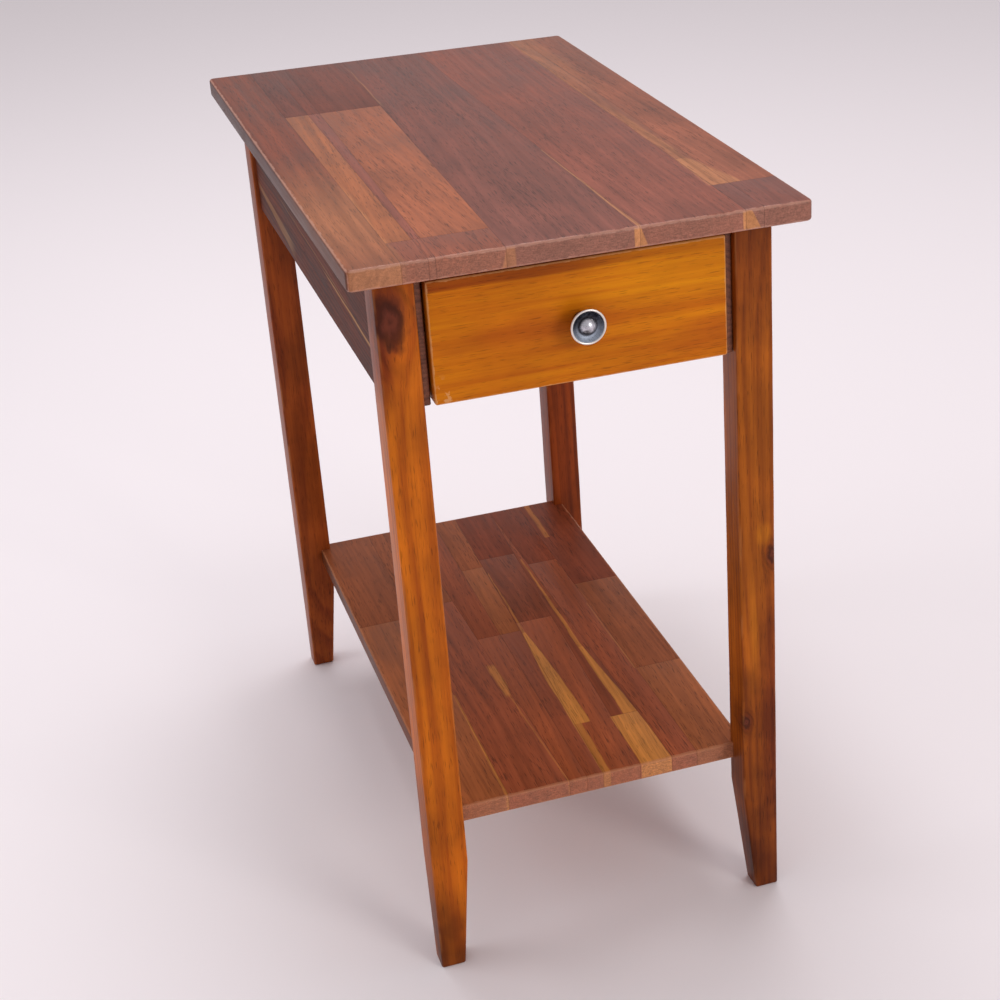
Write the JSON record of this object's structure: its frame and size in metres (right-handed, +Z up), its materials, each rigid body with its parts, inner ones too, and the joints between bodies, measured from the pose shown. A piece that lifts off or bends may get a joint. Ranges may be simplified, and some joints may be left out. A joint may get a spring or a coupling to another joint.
{
  "type": "side table with drawer",
  "caption": "Narrow wooden side table with tapered legs, a stave-glued top, one drawer with a round metal knob, and a low shelf.",
  "frame": {"origin": "on the floor under the middle of the table top", "axes": "+Z up; -Y is the side the drawer opens towards; +X is to the right of someone facing the drawer"},
  "size_m": [0.34, 0.588, 0.61],
  "materials": {
    "top_wood": "satin lacquered acacia, edge-glued staves",
    "shelf_wood": "satin lacquered acacia, edge-glued staves",
    "frame_wood": "satin lacquered acacia, red-brown",
    "front_wood": "satin lacquered acacia, golden amber, worn arrises",
    "box_wood": "clear sealed pale wood",
    "hidden_wood": "plain unfinished wood",
    "pewter": "antique pewter, worn bright on the rim and dome",
    "steel": "zinc plated"
  },
  "bodies": {
    "frame": {"top_panel": "top_wood", "leg_front_left": "frame_wood", "leg_back_left": "frame_wood", "leg_front_right": "frame_wood", "leg_back_right": "frame_wood", "apron_left": "frame_wood", "apron_right": "frame_wood", "apron_back": "frame_wood", "shelf": "shelf_wood", "drawer_guide_left": "hidden_wood", "drawer_runner_left": "hidden_wood", "drawer_kicker_left": "hidden_wood", "drawer_stop_left": "hidden_wood", "corner_block_left": "hidden_wood", "drawer_guide_right": "hidden_wood", "drawer_runner_right": "hidden_wood", "drawer_kicker_right": "hidden_wood", "drawer_stop_right": "hidden_wood", "corner_block_right": "hidden_wood", "dowel_front_left_lower": "hidden_wood", "dowel_front_left_upper": "hidden_wood", "dowel_back_left_lower": "hidden_wood", "dowel_back_left_upper": "hidden_wood", "dowel_front_right_lower": "hidden_wood", "dowel_front_right_upper": "hidden_wood", "dowel_back_right_lower": "hidden_wood", "dowel_back_right_upper": "hidden_wood", "dowel_back_apron_left_lower": "hidden_wood", "dowel_back_apron_left_upper": "hidden_wood", "dowel_back_apron_right_lower": "hidden_wood", "dowel_back_apron_right_upper": "hidden_wood", "guide_screw_front_left": "steel", "guide_screw_back_left": "steel", "guide_screw_front_right": "steel", "guide_screw_back_right": "steel", "top_screw_left_1": "steel", "top_screw_left_2": "steel", "top_screw_left_3": "steel", "top_screw_right_1": "steel", "top_screw_right_2": "steel", "top_screw_right_3": "steel"},
    "drawer": {"drawer_front": "front_wood", "drawer_side_left": "box_wood", "drawer_side_right": "box_wood", "drawer_back": "box_wood", "drawer_bottom": "box_wood", "knob": "pewter", "knob_screw": "steel"}
  },
  "joints": [
    {"name": "drawer_slide", "type": "slide", "parent": "frame", "child": "drawer", "axis": [0, -1, 0], "range_m": [0, 0.3]}
  ]
}
